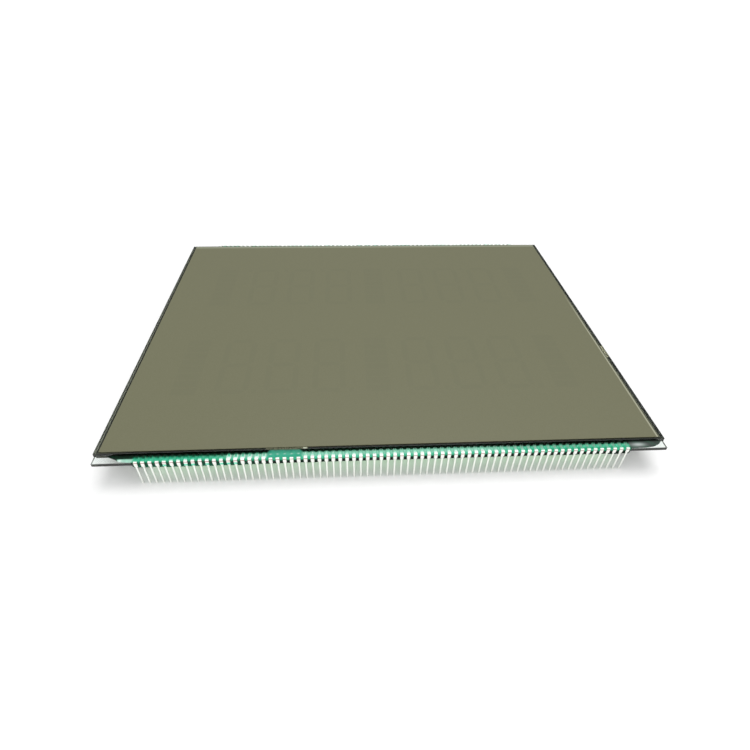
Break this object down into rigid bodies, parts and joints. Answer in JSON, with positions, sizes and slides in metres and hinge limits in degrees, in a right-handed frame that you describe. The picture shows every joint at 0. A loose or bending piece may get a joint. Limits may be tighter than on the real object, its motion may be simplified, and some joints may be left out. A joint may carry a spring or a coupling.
{
  "type": "segment liquid crystal display",
  "caption": "Bare reflective segment display glass with digits and bar stacks, sealed between two plates, on clip-on pins along both long edges under green resin.",
  "frame": {"origin": "middle of the display's outline, at the level of the pins' tips", "axes": "+X along the pin rows to the reader's right, +Y across the rows away from the reader, +Z out of the viewing side"},
  "size_m": [0.1688, 0.1384, 0.0101],
  "materials": {
    "polarizer_film": "smooth film",
    "plate_glass": "polished",
    "clear_electrode": "polished",
    "alignment_film": "polished",
    "liquid_crystal": "clear",
    "seal_epoxy": "cured",
    "end_seal_resin": "cured",
    "silver_epoxy": "matte",
    "reflector_foil": "satin",
    "green_resin": "wet gloss",
    "tinned_strip": "bright tin"
  },
  "bodies": {
    "root": {"front_polarizer": "polarizer_film", "rear_polarizer": "polarizer_film", "front_glass": "plate_glass", "rear_glass": "plate_glass", "common_electrodes": "clear_electrode", "front_row_electrodes": "clear_electrode", "rear_row_electrodes": "clear_electrode", "front_alignment_layer": "alignment_film", "rear_alignment_layer": "alignment_film", "liquid_crystal": "liquid_crystal", "perimeter_seal": "seal_epoxy", "end_seal": "end_seal_resin", "crossover_dots": "silver_epoxy", "reflector": "reflector_foil", "front_resin": "green_resin", "rear_resin": "green_resin", "front_pins_1": "tinned_strip", "rear_pins_1": "tinned_strip", "front_pins_2": "tinned_strip", "rear_pins_2": "tinned_strip", "front_pins_3": "tinned_strip", "rear_pins_3": "tinned_strip", "front_pins_4": "tinned_strip", "rear_pins_4": "tinned_strip", "front_pins_5": "tinned_strip", "rear_pins_5": "tinned_strip", "front_pins_6": "tinned_strip", "rear_pins_6": "tinned_strip", "front_pins_7": "tinned_strip", "rear_pins_7": "tinned_strip", "front_pins_8": "tinned_strip", "rear_pins_8": "tinned_strip", "front_pins_9": "tinned_strip", "rear_pins_9": "tinned_strip"}
  },
  "joints": []
}
